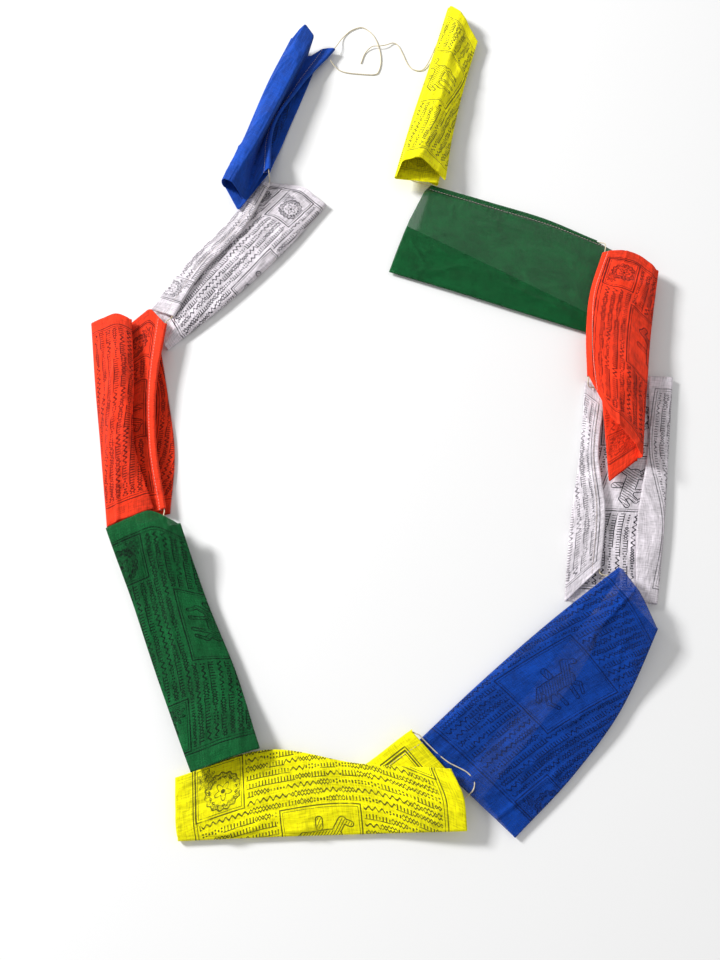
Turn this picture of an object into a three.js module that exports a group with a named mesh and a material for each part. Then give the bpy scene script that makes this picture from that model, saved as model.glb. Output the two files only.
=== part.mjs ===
// A string of ten prayer flags, laid in an oval on a flat surface.
// Each flag is one sheet of thin cloth, folded back and forth along the string that its hem holds.
// Millimetres, +Z up. The surface is z = 0 and the origin is under the middle of the oval.

import * as THREE from 'three';

// Driving sizes of the cloth and the string
const clothThickness = 1;
const stringDiameter = 1.5;
const stringClearance = 0.45;
const hemWidth = 9;
const longestFlap = 0.55;
const flapSpacing = 1.7;

// Fineness of the sheets and of the string
const flagSteps = 6;
const hemArcSteps = 6;
const foldArcSteps = 5;
const softArcSteps = 3;
const stringSides = 8;
const gapSteps = 3;
const deepestFoldBulge = 3;

// Where the middle of the oval lies in the plan that the places below are measured in
const planCentre = { x: 20.1, y: 123.1 };

// The mid sheet of a hem keeps this radius round the middle of the string
const hemRadius = stringDiameter / 2 + stringClearance + clothThickness / 2;

const cloths = {
  blue: new THREE.MeshStandardMaterial({ color: 0x1247a8, roughness: 0.85, metalness: 0, side: THREE.DoubleSide }),
  white: new THREE.MeshStandardMaterial({ color: 0xeae6ee, roughness: 0.85, metalness: 0, side: THREE.DoubleSide }),
  red: new THREE.MeshStandardMaterial({ color: 0xf23a1c, roughness: 0.85, metalness: 0, side: THREE.DoubleSide }),
  green: new THREE.MeshStandardMaterial({ color: 0x1f6a3c, roughness: 0.85, metalness: 0, side: THREE.DoubleSide }),
  yellow: new THREE.MeshStandardMaterial({ color: 0xf5e400, roughness: 0.85, metalness: 0, side: THREE.DoubleSide }),
};
const twine = new THREE.MeshStandardMaterial({ color: 0xe9e2c4, roughness: 0.9, metalness: 0 });

// The flags in the order in which the string passes through them.
// place and turn set the flag's own frame: "along" runs with the string, "across" to its left.
// lift raises the whole flag over the neighbours that it lies on, at even places from start to end.
// The rows run from the string to the flag's lower edge, a row for each crease or edge:
//   along   where the row starts and ends
//   across  its place at the start, at one third, at two thirds and at the end
//   height  its height at the same four places
//   back    for a fold, the height at which the cloth comes back
//   soft    for an open crease, how far its bend spreads to either side
const flags = [
  {
    name: 'flag_blue_1', cloth: 'blue', place: { x: -70, y: 552 }, turn: -105,
    lift: [0, 0, 1, 11.3], flap: 'under',
    rows: [
      { crease: 'string', along: [22, 208], across: [47, 26, 13, 27], height: [6, 11, 12, 9] },
      { crease: 'tab', along: [24, 212], across: [34, 20, 9, 22], height: [5, 8, 9, 6.4], soft: 3 },
      { crease: 'valley', along: [42, 250], across: [21, 12, 5, 14], height: [5, 5, 5, 4.8], soft: 5 },
      { crease: 'top right crease', along: [20, 242], across: [24, 17, 9, -2], height: [18, 25, 27, 23], soft: 3 },
      { crease: 'top middle', along: [9, 240], across: [11, 3, -2, -9], height: [20, 23, 24, 21], soft: 3 },
      { crease: 'left fold', along: [27, 236], across: [-3, -10, -13, -17], height: [15, 17, 17, 15], back: 0.5 },
      { crease: 'floor', along: [40, 260], across: [12, 9, 6, 8], height: 0.5, soft: 3 },
      { crease: 'right fold', along: [46, 206], across: [33, 30, 27, 27], height: 0.5, back: 2 },
      { crease: 'inner left fold', along: [38, 226], across: [5, -3, -5, -9], height: 2, back: 3.5 },
      { crease: 'lower edge', along: [36, 228], across: [27, 22, 20, 19], height: 3.5 },
    ],
  },
  {
    name: 'flag_white_1', cloth: 'white', place: { x: -59, y: 344 }, turn: -126.5,
    lift: 0, flap: 'under',
    rows: [
      { crease: 'string', along: [31, 216], across: [-26, -14, -16, -6], height: 9 },
      { crease: 'left fold', along: [30, 222], across: [-35.5, -32, -35, -30], height: [7, 9, 9, 8], back: [4.4, 5, 5, 5] },
      { crease: 'upper middle', along: [10, 238], across: [4, 5, 0, -6], height: [5.5, 6.5, 6.5, 5.5], soft: 8 },
      { crease: 'right fold', along: [13, 246], across: [38, 36, 27, 12], height: [6, 7, 7, 6], back: 0.5 },
      { crease: 'under left fold', along: [36, 226], across: [-26, -25, -28, -24], height: 0.5, back: 2.6 },
      { crease: 'lower edge', along: [30, 240], across: [22, 23, 17, 5], height: 2.6 },
    ],
  },
  {
    name: 'flag_red_1', cloth: 'red', place: { x: -240, y: 186 }, turn: -83,
    lift: 0, flap: 'over',
    rows: [
      { crease: 'string', along: [29, 223], across: [39, 25, 21, 26], height: [15, 14, 12, 8.5] },
      { crease: 'hem strip', along: [8, 224], across: [25, 15, 11, 17], height: [14, 9, 8, 6], soft: 5 },
      { crease: 'hidden fold', along: [24, 222], across: [-2, -9, -10, 7], height: [10, 7, 7, 5], back: [14, 11, 11, 7.4] },
      { crease: 'panel edge', along: [21, 222], across: [6, 5, 2, 16], height: [16, 16, 16, 8], back: [18.6, 19, 18, 10.2] },
      { crease: 'ridge', along: [13, 227], across: [-8, -4, -4, -3], height: [21, 24, 23, 12], soft: 6 },
      { crease: 'left fold', along: [17, 233], across: [-37, -35, -32, -30], height: [13, 14, 13, 8], back: 0.5 },
      { crease: 'right fold', along: [42, 226], across: [30, 35, 38, 30], height: 0.5, back: 3 },
      { crease: 'lower edge', along: [42, 226], across: [-8, -2, -1, -8], height: 2.8 },
    ],
  },
  {
    name: 'flag_green_1', cloth: 'green', place: { x: -210, y: -40 }, turn: -68,
    lift: [14, 1, 1, 10], flap: 'over',
    rows: [
      { crease: 'string', along: [12, 232], across: [22, 14, 0, -12], height: 2.2 },
      { crease: 'under left fold', along: [8, 234], across: [-25, -25, -26, -25], height: 0.5, back: 5.2 },
      { crease: 'right fold', along: [25, 243], across: [35, 33, 36, 34], height: 5.4, back: [9.5, 10, 10, 9.5] },
      { crease: 'ridge', along: [3, 241], across: [13, 6, 6, 4], height: [13, 14, 14, 13], soft: 8 },
      { crease: 'left trough', along: [3, 241], across: [-8, -12, -12, -10], height: 10.5, soft: 6 },
      { crease: 'left fold', along: [4, 240], across: [-31, -31, -31, -28], height: 9.6, back: 7.4 },
      { crease: 'lower edge', along: [6, 238], across: [-4, -3, -4, -2], height: 7.4 },
    ],
  },
  {
    name: 'flag_yellow_1', cloth: 'yellow', place: { x: -158, y: -300 }, turn: 1,
    lift: [0, 0, 0, 8], flap: 'under',
    rows: [
      { crease: 'string', along: [26, 205], across: [12, 22, 21, 58], height: [2.2, 2.2, 2.2, 3.4] },
      { crease: 'hidden fold', along: [14, 236], across: [-6, 10, -6, 22], height: [0.9, 0.9, 0.9, 2.6], back: [5.3, 5.3, 5.3, 4.9] },
      { crease: 'top fold', along: [-3, 238], across: [23, 45, 32, 26], height: [5.5, 5.6, 5.8, 5.8], back: [7.8, 8, 8, 8.2] },
      { crease: 'ridge', along: [-1, 248], across: [-15, -12, -5, 2], height: [8, 10, 11, 10], soft: 7 },
      { crease: 'bottom fold', along: [1, 249], across: [-29, -27, -26, -25], height: 6, back: 0.5 },
      { crease: 'under left fold', along: [4, 240], across: [-11, 3, -12, 7], height: 0.5, back: 2 },
      { crease: 'lower edge', along: [4, 244], across: [-26, -24, -23, -22], height: 2 },
    ],
  },
  {
    name: 'flag_blue_2', cloth: 'blue', place: { x: 96, y: -286 }, turn: 46,
    lift: [0, 0, 2, 11.5], flap: 'over',
    rows: [
      { crease: 'string', along: [2, 226], across: [17, 18, 22, 26], height: [2.2, 2.2, 4, 7.2] },
      { crease: 'left fold', along: [-7, 239], across: [60, 54, 45, 32], height: [1.2, 2, 3, 5], back: [5.4, 7, 8, 10] },
      { crease: 'left ridge', along: [-5, 236], across: [27, 25, 20, 17], height: [7, 8.6, 10.5, 12.5], soft: 8 },
      { crease: 'right ridge', along: [-4, 232], across: [-12, -8, -4, 1], height: [6.6, 8, 10, 12], soft: 8 },
      { crease: 'right fold', along: [-3, 220], across: [-55, -58, -52, -30], height: [4.6, 5.4, 6, 7], back: 2.6 },
      { crease: 'under left fold', along: [2, 226], across: [-14, -10, -4, 18], height: 2.6, back: 0.5 },
      { crease: 'lower edge', along: [0, 222], across: [-28, -26, -24, -20], height: 0.5 },
    ],
  },
  {
    name: 'flag_white_2', cloth: 'white', place: { x: 237, y: -123 }, turn: 81,
    lift: 0, flap: 'under',
    rows: [
      { crease: 'string', along: [30, 205], across: [18, 19, 29, 27], height: [8, 10, 8, 7.4] },
      { crease: 'left fold', along: [-5, 221], across: [47, 48, 45, 46], height: [6.5, 8, 7.2, 6.3], back: [4.7, 4.7, 4.4, 4.2] },
      { crease: 'middle right fold', along: [2, 232], across: -30, height: [4.7, 4.7, 4.4, 4.2], back: 2.4 },
      { crease: 'middle left fold', along: [2, 230], across: 10, height: 2.4, back: 0.5 },
      { crease: 'right fold', along: [6, 239], across: [-39, -41, -41, -41], height: 0.5, back: [6.4, 7.5, 6.8, 6.4] },
      { crease: 'lower edge', along: [6, 236], across: [-18, -14, -20, -16], height: [7.2, 9, 7.4, 6.6] },
    ],
  },
  {
    name: 'flag_red_2', cloth: 'red', place: { x: 257, y: 15 }, turn: 82,
    lift: [11, 11, 7, 7], flap: 'under',
    rows: [
      { crease: 'string', along: [82, 228], across: [42, 46, 44, 34], height: [8, 8, 8, 7] },
      { crease: 'shoulder', along: [35, 230], across: [20, 32, 34, 20], height: [19, 18, 16, 13], soft: 7 },
      { crease: 'top', along: [22, 228], across: [5, 9, 8, 3], height: [20, 20, 18, 14], soft: 8 },
      { crease: 'right fold', along: [4, 214], across: [-14, -15, -18, -23], height: [14, 13, 11, 9], back: 3.6 },
      { crease: 'under left fold', along: [-22, 221], across: [15, 26, 40, 33], height: 3.6, back: 0.5 },
      { crease: 'under right fold', along: [2, 214], across: [-11, -12, -15, -20], height: 0.5, back: 2 },
      { crease: 'lower edge', along: [-4, 216], across: [5, 18, 26, 20], height: 2 },
    ],
  },
  {
    name: 'flag_green_2', cloth: 'green', place: { x: 261, y: 206 }, turn: 159.5,
    lift: 0, flap: 'over',
    rows: [
      { crease: 'string', along: [30, 218], across: [-51, -56, -55, -55], height: [5, 7, 7, 5] },
      { crease: 'hem side', along: [7, 222], across: [-47, -50, -49, -49], height: [3.6, 5.6, 5.6, 3.6], soft: 2 },
      { crease: 'middle', along: [4, 225], across: [-4, 0, 0, 0], height: [5.2, 8, 8, 6], soft: 10 },
      { crease: 'bottom fold', along: [-4, 224], across: [54, 56, 57, 59], height: [4.6, 6.5, 6.5, 5.2], back: 2.6 },
      { crease: 'under top fold', along: [1, 225], across: [34, 22, 10, -1], height: 2.6, back: 0.5 },
      { crease: 'lower edge', along: [-2, 224], across: [50, 52, 52, 53], height: 0.5 },
    ],
  },
  {
    name: 'flag_yellow_2', cloth: 'yellow', place: { x: 65, y: 339 }, turn: 78,
    lift: [8, 1, 0, 0], flap: 'over',
    rows: [
      { crease: 'string', along: [8, 198], across: [14, 10, 8, 4], height: 2.2 },
      { crease: 'under right fold', along: [-3, 196], across: [-20, -20, -20, -22], height: 0.5, back: 5.4 },
      { crease: 'left fold', along: [-7, 239], across: [27, 24, 18, 13], height: 5.6, back: [9.5, 11, 11, 10] },
      { crease: 'lip', along: [5, 238], across: [21, 18, 13, 9], height: [22, 18, 16, 14], soft: 3 },
      { crease: 'top crease', along: [11, 229], across: [2, -2, -3, -3], height: [25, 25, 22, 17], soft: 4 },
      { crease: 'right fold', along: [1, 199], across: [-27, -24, -25, -29], height: 9.6, back: 7.6 },
      { crease: 'lower edge', along: [26, 198], across: [6, 6, 4, 0], height: 7.6 },
    ],
  },
];

// Hand-laid points of the string between two hems, where it doesn't run straight from one to the next
const stringBetween = {
  flag_green_1: [
    [-132.8, -262.6, 11.4], [-134.2, -264.4, 9], [-137, -264.6, 6.2], [-140, -266.4, 3.8], [-142, -271.5, 2.5],
    [-141.6, -280, 2.2], [-137.4, -286.4, 2.2],
  ],
  flag_yellow_1: [
    [49.2, -240, 11.4], [52, -241, 11], [55, -244, 10], [60, -249, 8.6], [69, -257.5, 8.3], [78, -264.5, 8.4],
    [87, -269, 8.6], [94, -273, 8.8], [99.5, -280, 8.9], [98.5, -287, 8.9], [94.5, -291, 8.7], [89.5, -294.6, 7],
    [84.5, -293.5, 4.5], [81.3, -288.5, 2.5], [81, -281.5, 2.2], [83, -275.6, 2.2],
  ],
  flag_blue_2: [
    [236.9, -104.2, 18.9], [239.7, -104.4, 17], [239, -100.5, 13.5], [234, -97.2, 10.5], [228, -97, 8.9],
    [224.2, -94.6, 8.2],
  ],
  flag_white_2: [
    [243.1, 88, 7.4], [241, 92.6, 7.6], [235, 94.6, 8.4], [229, 93.8, 11], [226.3, 95.4, 15], [226.3, 98.8, 18.2],
  ],
  flag_red_2: [[256.6, 250, 13.5], [258, 256, 11], [258, 261, 7.8], [255.2, 263, 5.8]],
  flag_green_2: [
    [72.5, 335.6, 4.9], [67, 337.6, 4.9], [60.6, 339, 5.8], [55, 340.4, 8], [53, 344.5, 9.8],
  ],
};

// The loose loop at the first flag and the loose tail at the last one
const loopRoute = [
  [-30.1, 518.9, 6], [-26.6, 525, 4.8], [-22, 536, 1.9], [-17, 543.5, 0.8], [-10, 550.5, 0.8], [1, 555, 0.8],
  [10, 550, 0.8], [17, 540, 0.8], [22, 525, 0.8], [24, 508, 0.8], [22, 494, 0.8], [17, 487.5, 0.8],
  [1, 488, 0.8], [-15, 490, 0.8], [-24, 493.5, 1.2], [-30, 498.5, 3.2], [-34, 504, 5.4],
];
const tailRoute = [
  [102.4, 533.9, 2.2], [102.6, 539.4, 2.2], [96.8, 542.2, 2.2], [92.4, 537.5, 2.2], [87, 526, 2.2], [81, 510, 1.8],
  [75, 498, 1.2], [69, 492.8, 0.8], [60, 495, 0.8], [54, 503, 0.8], [49, 517, 0.8], [44, 528.5, 0.8],
  [38, 532, 1.2], [30, 528, 2.5], [22.4, 526, 3.1], [14, 526, 2.1], [6, 518, 0.8], [1, 503, 0.8],
];

// A smooth curve through evenly placed values, at t from 0 to 1
function through(values, t) {
  if (typeof values === 'number') return values;
  const last = values.length - 1;
  const place = t * last;
  const i = THREE.MathUtils.clamp(Math.floor(place), 0, last - 1);
  const u = place - i;
  const [p1, p2] = [values[i], values[i + 1]];
  const p0 = i > 0 ? values[i - 1] : 2 * p1 - p2;
  const p3 = i < last - 1 ? values[i + 2] : 2 * p2 - p1;
  const bend = (p2 - p0 + (2 * p0 - 5 * p1 + 4 * p2 - p3) * u + (3 * (p1 - p2) + p3 - p0) * u * u) * u;
  return p1 + bend / 2;
}

// Heights ease from one value to the next, so that none falls below both
function easedThrough(values, t) {
  if (typeof values === 'number') return values;
  const place = THREE.MathUtils.clamp(t, 0, 1) * (values.length - 1);
  const i = Math.min(Math.floor(place), values.length - 2);
  return THREE.MathUtils.lerp(values[i], values[i + 1], THREE.MathUtils.smoothstep(place - i, 0, 1));
}

// A point of a flag's mid sheet, in the flag's own frame
const sheetPoint = (along, across, height) => new THREE.Vector3(along, across, height);

// The rows of a flag at one station between its start and its end
function rowsAt(flag, t) {
  const lift = easedThrough(flag.lift, t);
  return flag.rows.map((row) => {
    const along = THREE.MathUtils.lerp(row.along[0], row.along[1], t);
    const across = through(row.across, t);
    const height = lift + easedThrough(row.height, t);
    const back = row.back === undefined ? height : lift + easedThrough(row.back, t);
    return { into: sheetPoint(along, across, height), out: sheetPoint(along, across, back), row };
  });
}

// How much wider a hem that slants across the sections is in one of them
function slantAt(row, t) {
  const reach = 0.5 / flagSteps;
  const drift = through(row.across, t + reach) - through(row.across, t - reach);
  return Math.hypot(1, drift / (2 * reach * (row.along[1] - row.along[0])));
}

// The hem: a flap, then half a turn round the string, to where the sheet leaves it
function hemPoints(flag, string, next, slant) {
  const run = new THREE.Vector3(0, next.y - string.y, next.z - string.z).normalize();
  const side = new THREE.Vector3(0, -run.z, run.y);
  if (side.z > 0 !== (flag.flap === 'under')) side.negate();
  const leaving = string.clone().addScaledVector(side, hemRadius);
  const depth = Math.hypot(next.y - string.y, next.z - string.z);
  const flapReach = Math.min(hemWidth / depth, longestFlap);
  const points = [leaving.lerp(next, flapReach).addScaledVector(side, -flapSpacing)];
  for (let i = 0; i <= hemArcSteps; i += 1) {
    const angle = (Math.PI * i) / hemArcSteps;
    const point = string.clone().addScaledVector(side, -hemRadius * Math.cos(angle));
    points.push(point.addScaledVector(run, -hemRadius * Math.sin(angle)));
  }
  points.forEach((point) => { point.y = string.y + slant * (point.y - string.y); });
  return points;
}

// A fold: half an ellipse from the arriving layer to the returning one
function foldPoints(before, fold) {
  const outward = Math.sign(fold.into.y - before.y);
  const half = (fold.out.z - fold.into.z) / 2;
  const bulge = Math.min(Math.abs(half), deepestFoldBulge);
  return Array.from({ length: foldArcSteps + 1 }, (_, i) => {
    const angle = (Math.PI * i) / foldArcSteps;
    const across = fold.into.y + outward * bulge * (Math.sin(angle) - 1);
    return sheetPoint(fold.into.x, across, fold.into.z + half * (1 - Math.cos(angle)));
  });
}

// An open crease: a short curve from one panel into the next
function creasePoints(before, crease, after) {
  const corner = crease.into;
  const reachTo = (other) => Math.min(crease.row.soft / corner.distanceTo(other), 0.4);
  const start = corner.clone().lerp(before, reachTo(before));
  const end = corner.clone().lerp(after, reachTo(after));
  const bend = new THREE.QuadraticBezierCurve3(start, corner, end);
  return bend.getPoints(softArcSteps);
}

// The flag's mid sheet at one station, from the flap's edge to the lower edge
function sectionAt(flag, t) {
  const rows = rowsAt(flag, t);
  const points = hemPoints(flag, rows[0].into, rows[1].into, slantAt(rows[0].row, t));
  for (let i = 1; i < rows.length - 1; i += 1) {
    const before = i > 1 ? rows[i - 1].out : points[points.length - 1];
    if (rows[i].row.back !== undefined) points.push(...foldPoints(before, rows[i]));
    else points.push(...creasePoints(before, rows[i], rows[i + 1].into));
  }
  points.push(rows[rows.length - 1].into);
  return points;
}

// The two faces of the cloth, half its thickness to either side of the mid sheet
function facesOf(points) {
  const normals = points.map((point, i) => {
    const before = points[Math.max(i - 1, 0)];
    const after = points[Math.min(i + 1, points.length - 1)];
    return new THREE.Vector3(0, before.z - after.z, after.y - before.y).normalize();
  });
  const offset = (distance) => points.map((point, i) => point.clone().addScaledVector(normals[i], distance));
  return { upper: offset(clothThickness / 2), lower: offset(-clothThickness / 2) };
}

// A closed mesh from a row of closed rings, capped at both ends
function ringsToGeometry(rings) {
  const ringSize = rings[0].length;
  const positions = rings.flat().flatMap((point) => [point.x, point.y, point.z]);
  const index = [];
  for (let i = 0; i < rings.length - 1; i += 1) {
    for (let j = 0; j < ringSize; j += 1) {
      const a = i * ringSize + j;
      const b = i * ringSize + ((j + 1) % ringSize);
      index.push(a, b, a + ringSize, b, b + ringSize, a + ringSize);
    }
  }
  const geometry = new THREE.BufferGeometry();
  geometry.setAttribute('position', new THREE.Float32BufferAttribute(positions, 3));
  return { geometry, index };
}

// The caps of a sheet's end sections are strips between its two faces
function sheetCaps(sampleCount, firstPoint, reversed) {
  const index = [];
  for (let j = 0; j < sampleCount - 1; j += 1) {
    const [a, b] = [firstPoint + j, firstPoint + j + 1];
    const [c, d] = [firstPoint + 2 * sampleCount - 1 - j, firstPoint + 2 * sampleCount - 2 - j];
    const quad = [a, c, b, b, c, d];
    index.push(...(reversed ? quad.reverse() : quad));
  }
  return index;
}

function makeFlag(flag) {
  const rings = [];
  for (let i = 0; i <= flagSteps; i += 1) {
    const { upper, lower } = facesOf(sectionAt(flag, i / flagSteps));
    rings.push([...lower, ...upper.reverse()]);
  }
  const sampleCount = rings[0].length / 2;
  const { geometry, index } = ringsToGeometry(rings);
  index.push(...sheetCaps(sampleCount, 0, false));
  index.push(...sheetCaps(sampleCount, flagSteps * 2 * sampleCount, true));
  geometry.setIndex(index);
  geometry.computeVertexNormals();
  const mesh = new THREE.Mesh(geometry, cloths[flag.cloth]);
  mesh.name = flag.name;
  mesh.position.set(flag.place.x, flag.place.y, 0);
  mesh.rotation.z = THREE.MathUtils.degToRad(flag.turn);
  return mesh;
}

// The middle of the string at the stations of one hem, in the plan
function stringInHem(flag) {
  const turn = new THREE.Matrix4().makeRotationZ(THREE.MathUtils.degToRad(flag.turn));
  return Array.from({ length: flagSteps + 1 }, (_, i) => {
    const point = rowsAt(flag, i / flagSteps)[0].into;
    return point.applyMatrix4(turn).add(new THREE.Vector3(flag.place.x, flag.place.y, 0));
  });
}

// Points between two hems: those laid by hand, or an even curve from one hem into the next
function gapPoints(flag, arriving, leaving) {
  if (stringBetween[flag.name]) return stringBetween[flag.name].map((point) => new THREE.Vector3(...point));
  const [before, start] = arriving.slice(-2);
  const [end, after] = leaving;
  const pull = start.distanceTo(end) / 3;
  const startHandle = start.clone().addScaledVector(start.clone().sub(before).normalize(), pull);
  const endHandle = end.clone().addScaledVector(end.clone().sub(after).normalize(), pull);
  const curve = new THREE.CubicBezierCurve3(start, startHandle, endHandle, end);
  return curve.getPoints(gapSteps).slice(1, -1);
}

function stringRoute() {
  const hems = flags.map(stringInHem);
  return hems.flatMap((hem, i) => (i < hems.length - 1 ? [...hem, ...gapPoints(flags[i], hem, hems[i + 1])] : hem));
}

function makeString(name, route) {
  const radius = stringDiameter / 2;
  const rings = route.map((point, i) => {
    const before = route[Math.max(i - 1, 0)];
    const after = route[Math.min(i + 1, route.length - 1)];
    const run = after.clone().sub(before).normalize();
    const side = new THREE.Vector3(-run.y, run.x, 0).normalize();
    const up = run.clone().cross(side);
    return Array.from({ length: stringSides }, (_, k) => {
      const angle = (2 * Math.PI * (k + 0.5)) / stringSides;
      const corner = point.clone().addScaledVector(side, radius * Math.cos(angle));
      return corner.addScaledVector(up, radius * Math.sin(angle));
    });
  });
  const { geometry, index } = ringsToGeometry(rings);
  const lastRing = (rings.length - 1) * stringSides;
  for (let k = 1; k < stringSides - 1; k += 1) {
    index.push(0, k + 1, k);
    index.push(lastRing, lastRing + k, lastRing + k + 1);
  }
  geometry.setIndex(index);
  geometry.computeVertexNormals();
  const mesh = new THREE.Mesh(geometry, twine);
  mesh.name = name;
  return mesh;
}

const toPoints = (route) => route.map((point) => new THREE.Vector3(...point));

const flagString = new THREE.Group();
flagString.name = 'prayer_flag_string';
flagString.position.set(-planCentre.x, -planCentre.y, 0);
flags.forEach((flag) => flagString.add(makeFlag(flag)));
flagString.add(makeString('string_run', stringRoute()));
flagString.add(makeString('string_loop', toPoints(loopRoute)));
flagString.add(makeString('string_tail', toPoints(tailRoute)));

export default flagString;
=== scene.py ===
# A string of ten printed flags, folded along the string and laid in an oval on a pale floor.
# Metres, +Z up. The tables of folds are in millimetres, in each flag's own frame.
import math
import bpy
import numpy as np
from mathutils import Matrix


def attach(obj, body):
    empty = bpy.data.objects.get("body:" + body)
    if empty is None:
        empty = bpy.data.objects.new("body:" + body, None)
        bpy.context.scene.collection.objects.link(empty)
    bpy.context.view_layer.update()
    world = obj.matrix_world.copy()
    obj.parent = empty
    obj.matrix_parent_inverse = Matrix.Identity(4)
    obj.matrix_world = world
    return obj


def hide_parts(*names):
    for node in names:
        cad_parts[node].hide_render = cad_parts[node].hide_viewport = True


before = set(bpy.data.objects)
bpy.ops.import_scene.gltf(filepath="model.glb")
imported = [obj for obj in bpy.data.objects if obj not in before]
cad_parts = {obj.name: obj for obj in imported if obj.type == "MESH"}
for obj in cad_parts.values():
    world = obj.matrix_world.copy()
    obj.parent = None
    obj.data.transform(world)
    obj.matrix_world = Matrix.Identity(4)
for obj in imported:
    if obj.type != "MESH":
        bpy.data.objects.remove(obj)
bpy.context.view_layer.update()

mm = 0.001
planCentre = np.array([20.1, 123.1, 0.0])  # middle of the oval in the plan that the tables use
cloth = {"width": 240, "depth": 205, "thickness": 0.4, "hemRadius": 1.7, "flapSpacing": 1.7,
         "hemWidth": 9, "longestFlap": 0.55, "hemCuts": 13, "foldCuts": 9, "creaseCuts": 7, "foldBulge": 3,
         "creaseShare": 0.4, "floorGap": 0.05, "stations": 145, "step": 1.85}
twine = {"diameter": 1.2, "sides": 12, "step": 1.2, "lay": 5.0, "groove": 0.22, "cuts": 12, "hemStations": 7}


def toPart(points):
    # Plan millimetres to metres in the part's frame.
    return (np.asarray(points, dtype=float) - planCentre) * mm


# camera: the photograph's, looking along +Y and 18.7 degrees off straight down
camera = {"height": 873.6, "tilt": 18.7, "focalPixels": 946, "framePixels": 960, "sensor": 36}
camData = bpy.data.cameras.new("camera")
camData.lens = camera["focalPixels"] / camera["framePixels"] * camera["sensor"]
camData.sensor_width = camera["sensor"]
camObject = bpy.data.objects.new("camera", camData)
footY = -camera["height"] * math.tan(math.radians(camera["tilt"]))
camObject.location = toPart([0, footY, camera["height"]])
camObject.rotation_euler = (math.radians(camera["tilt"]), 0, 0)
bpy.context.scene.collection.objects.link(camObject)
bpy.context.scene.camera = camObject
print("camera set")


def makeMesh(name, points, faces, uv=None, marks=None):
    # A mesh object from points, arrays of quads and triangles, UVs and point attributes.
    mesh = bpy.data.meshes.new(name)
    corners = np.concatenate([part.ravel() for part in faces]).astype(np.int32)
    sizes = np.concatenate([np.full(len(part), part.shape[1]) for part in faces])
    starts = np.concatenate([[0], np.cumsum(sizes)[:-1]]).astype(np.int32)
    mesh.vertices.add(len(points))
    mesh.vertices.foreach_set("co", np.asarray(points, dtype=np.float32).ravel())
    mesh.loops.add(len(corners))
    mesh.loops.foreach_set("vertex_index", corners)
    mesh.polygons.add(len(sizes))
    mesh.polygons.foreach_set("loop_start", starts)
    mesh.update(calc_edges=True)
    mesh.polygons.foreach_set("use_smooth", np.ones(len(sizes), dtype=bool))
    if uv is not None:
        layer = mesh.uv_layers.new(name="cloth")
        layer.data.foreach_set("uv", np.asarray(uv, dtype=np.float32)[corners].ravel())
    for mark, values in (marks or {}).items():
        layer = mesh.attributes.new(mark, "FLOAT", "POINT")
        layer.data.foreach_set("value", np.asarray(values, dtype=np.float32).ravel())
    made = bpy.data.objects.new(name, mesh)
    bpy.context.scene.collection.objects.link(made)
    return made


def gridFaces(rows, columns, closed=False):
    # Quads of a grid of points in rows; closed joins the last column to the first.
    i, j = np.meshgrid(np.arange(rows - 1), np.arange(columns if closed else columns - 1), indexing="ij")
    k = (j + 1) % columns
    a, b = i * columns + j, i * columns + k
    return np.stack([a, b, b + columns, a + columns], axis=-1).reshape(-1, 4)


def cubic(p0, p1, p2, p3, u):
    # From p1 at u = 0 to p2 at u = 1, with the slope (p2 - p0) / 2 at the start and (p3 - p1) / 2 at the end.
    return p1 + (p2 - p0 + (2 * p0 - 5 * p1 + 4 * p2 - p3) * u + (3 * (p1 - p2) + p3 - p0) * u * u) * u / 2


def smoothRoute(points, step):
    # A curve of cubics through the points, in even steps.
    points = np.asarray(points, dtype=float)
    ends = np.vstack([2 * points[0] - points[1], points, 2 * points[-1] - points[-2]])
    u = np.linspace(0, 1, twine["cuts"], endpoint=False)[None, :, None]
    curve = cubic(*(ends[k:len(ends) - 3 + k, None, :] for k in range(4)), u)
    return evenRoute(np.vstack([curve.reshape(-1, 3), points[-1]]), step)


def evenRoute(points, step):
    # The same line in steps of one length.
    run = np.concatenate([[0], np.cumsum(np.linalg.norm(np.diff(points, axis=0), axis=1))])
    places = np.linspace(0, run[-1], max(int(round(run[-1] / step)), 2) + 1)
    return np.stack([np.interp(places, run, points[:, k]) for k in range(3)], axis=1)


def routeLength(route):
    return float(np.linalg.norm(np.diff(route, axis=0), axis=1).sum())


def sideways(ahead):
    # Level and upward directions across each way.
    side = np.cross([0.0, 0.0, 1.0], ahead)
    side /= np.linalg.norm(side, axis=1, keepdims=True)
    return side, np.cross(ahead, side)


def makeTwine(name, route):
    # Two plies laid round each other: the radius at an angle round the route is the full one times
    # 1 - groove * sine squared of the angle, which turns once per lay.
    sides, radius = twine["sides"], twine["diameter"] / 2
    ahead = np.gradient(route, axis=0)
    side, up = sideways(ahead / np.linalg.norm(ahead, axis=1, keepdims=True))
    run = np.arange(len(route)) * routeLength(route) / (len(route) - 1)
    angle = np.linspace(0, 2 * np.pi, sides, endpoint=False)[None, :]
    turn = 2 * np.pi * run[:, None] / twine["lay"]
    reach = radius * (1 - twine["groove"] * np.sin(angle - turn) ** 2)
    rings = (route[:, None, :] + side[:, None, :] * (reach * np.cos(angle))[..., None]
             + up[:, None, :] * (reach * np.sin(angle))[..., None])
    points = np.vstack([rings.reshape(-1, 3), route[:1], route[-1:]])
    k = np.arange(sides)
    after = (k + 1) % sides
    base, tip = (len(route) - 1) * sides, len(route) * sides
    caps = np.vstack([np.stack([np.full(sides, tip), after, k], axis=1),
                      np.stack([np.full(sides, tip + 1), base + k, base + after], axis=1)])
    uv = np.stack([np.repeat(run, sides), np.tile(k / sides, len(route))], axis=1) * mm
    uv = np.vstack([uv, [[0, 0], [0, 0]]])
    return makeMesh(name, toPart(points), [gridFaces(len(route), sides, closed=True), caps], uv)


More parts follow.
